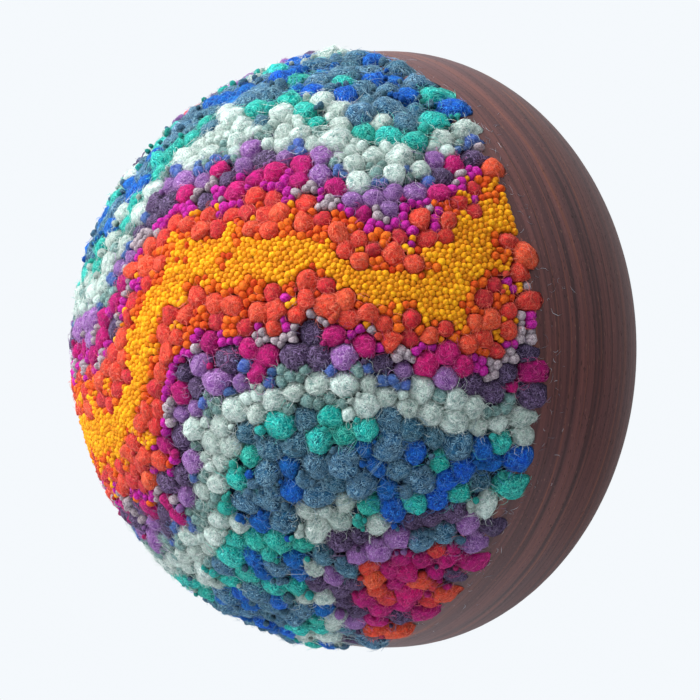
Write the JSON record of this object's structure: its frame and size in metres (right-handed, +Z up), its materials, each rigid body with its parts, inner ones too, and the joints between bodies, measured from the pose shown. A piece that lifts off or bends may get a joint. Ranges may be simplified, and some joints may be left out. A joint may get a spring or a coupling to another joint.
{
  "type": "punch needle wall dome on a turned wood base",
  "caption": "Half-ball wall piece of punched wool loops in wavy stripes, fitted on a round turned wood base with a flat back that lies against a wall.",
  "frame": {"origin": "centre of the wood base's flat back, which lies against the wall", "axes": "+Y into the wall, along the axis on which the base was turned; the punched dome faces -Y; +Z up"},
  "size_m": [0.18, 0.1405, 0.18],
  "materials": {
    "punched_wool": "wool loops, fuzzy and matt",
    "oiled_wood": "turned and oiled, satin"
  },
  "bodies": {
    "root": {"punched_cushion": "punched_wool", "turned_base": "oiled_wood"}
  },
  "joints": []
}
